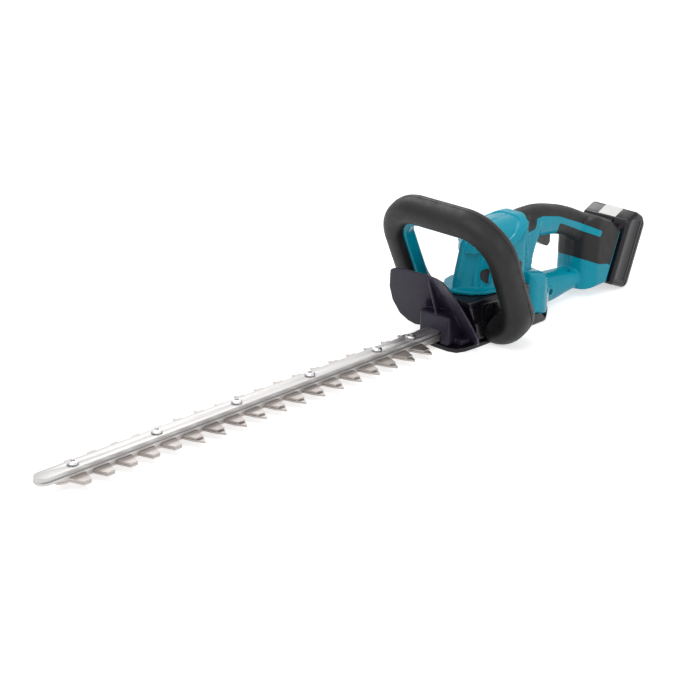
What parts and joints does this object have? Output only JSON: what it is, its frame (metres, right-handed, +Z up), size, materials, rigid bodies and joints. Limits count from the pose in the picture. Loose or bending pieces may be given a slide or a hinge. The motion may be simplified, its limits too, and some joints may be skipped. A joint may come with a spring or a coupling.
{
  "type": "cordless hedge trimmer",
  "caption": "Cordless hedge trimmer with a long double-sided shear blade, loop front handle, hand guard, rear grip and a slide-on battery.",
  "frame": {"origin": "on the flat underside of the base plate, below the crank's axis", "axes": "+Z up, blades towards -X, battery towards +X, halves meet on Y = 0"},
  "size_m": [0.9757, 0.2, 0.1809],
  "materials": {
    "blade_steel": "satin",
    "bar_aluminium": "satin",
    "zinc": "satin",
    "gear_steel": "satin",
    "copper": "satin",
    "case_black": "glossy",
    "trim_black": "satin",
    "housing_teal": "satin gloss",
    "grip_charcoal": "matte",
    "guard_smoke": "satin",
    "board_green": "satin",
    "lead_red": "satin",
    "cell_blue": "satin"
  },
  "bodies": {
    "body": {"guide_bar": "bar_aluminium", "guide_screw_1": "zinc", "guide_screw_2": "zinc", "guide_screw_3": "zinc", "guide_screw_4": "zinc", "guide_screw_5": "zinc", "guide_screw_6": "zinc", "guide_nut_1": "zinc", "guide_nut_2": "zinc", "guide_nut_3": "zinc", "guide_nut_4": "zinc", "guide_nut_5": "zinc", "guide_nut_6": "zinc", "case_screw_1": "zinc", "case_screw_2": "zinc", "case_screw_3": "zinc", "case_screw_4": "zinc", "housing_screw_1": "zinc", "housing_screw_2": "zinc", "housing_screw_3": "zinc", "housing_screw_4": "zinc", "housing_screw_5": "zinc", "guard_screw_1": "zinc", "guard_screw_2": "zinc", "crank_bearing_upper": "zinc", "crank_bearing_lower": "zinc", "motor_bearing": "zinc", "motor_can": "zinc", "trigger_spring": "zinc", "lever_spring": "zinc", "gear_case": "case_black", "base_plate": "case_black", "rear_bumper": "trim_black", "label_panel_left": "trim_black", "label_panel_right": "trim_black", "switch_body": "trim_black", "terminal_block": "trim_black", "front_switch": "trim_black", "motor_lead": "trim_black", "housing_left": "housing_teal", "housing_right": "housing_teal", "grip_skin_left": "grip_charcoal", "grip_skin_right": "grip_charcoal", "front_handle_front": "grip_charcoal", "front_handle_rear": "grip_charcoal", "hand_guard": "guard_smoke", "controller_board": "board_green", "power_lead": "lead_red"},
    "rotor": {"motor_rotor": "copper", "cooling_fan": "trim_black"},
    "crank": {"crank_gear": "gear_steel"},
    "lower_blade": {"lower_blade": "blade_steel"},
    "upper_blade": {"upper_blade": "blade_steel"},
    "trigger": {"trigger": "trim_black"},
    "front_lever": {"front_switch_lever": "housing_teal"},
    "battery": {"battery_case": "case_black", "battery_cover": "case_black", "cell_row_front": "cell_blue", "cell_row_rear": "cell_blue"},
    "battery_latch": {"battery_button": "trim_black"}
  },
  "joints": [
    {"name": "crank_spin", "type": "hinge", "parent": "body", "child": "crank", "pos_m": [0, 0, 0.02], "axis": [0, 0, 1], "continuous": true},
    {"name": "rotor_spin", "type": "hinge", "parent": "body", "child": "rotor", "pos_m": [0.033, 0, 0.06], "axis": [0, 0, 1], "continuous": true},
    {"name": "upper_blade_slide", "type": "slide", "parent": "body", "child": "upper_blade", "axis": [1, 0, 0], "range_m": [-0.005, 0.005]},
    {"name": "lower_blade_slide", "type": "slide", "parent": "body", "child": "lower_blade", "axis": [1, 0, 0], "range_m": [-0.005, 0.005]},
    {"name": "trigger_pull", "type": "hinge", "parent": "body", "child": "trigger", "pos_m": [0.11, 0, 0.111], "axis": [0, -1, 0], "range_deg": [0, 10], "stiffness_Nm_per_rad": 0.4, "deforming": ["trigger_spring"]},
    {"name": "lever_squeeze", "type": "slide", "parent": "body", "child": "front_lever", "axis": [-0.4089, 0, 0.9126], "range_m": [0, 0.004], "stiffness_N_per_m": 700, "deforming": ["lever_spring"]},
    {"name": "battery_slide", "type": "slide", "parent": "body", "child": "battery", "axis": [0.365, 0, 0.931], "range_m": [0, 0.11]},
    {"name": "latch_press", "type": "slide", "parent": "battery", "child": "battery_latch", "axis": [0.931, 0, -0.365], "range_m": [0, 0.003], "stiffness_N_per_m": 600}
  ],
  "couplings": [
    {"joint": "rotor_spin", "follows": "crank_spin", "ratio": -4.5},
    {"joint": "lower_blade_slide", "follows": "upper_blade_slide", "ratio": -1}
  ]
}
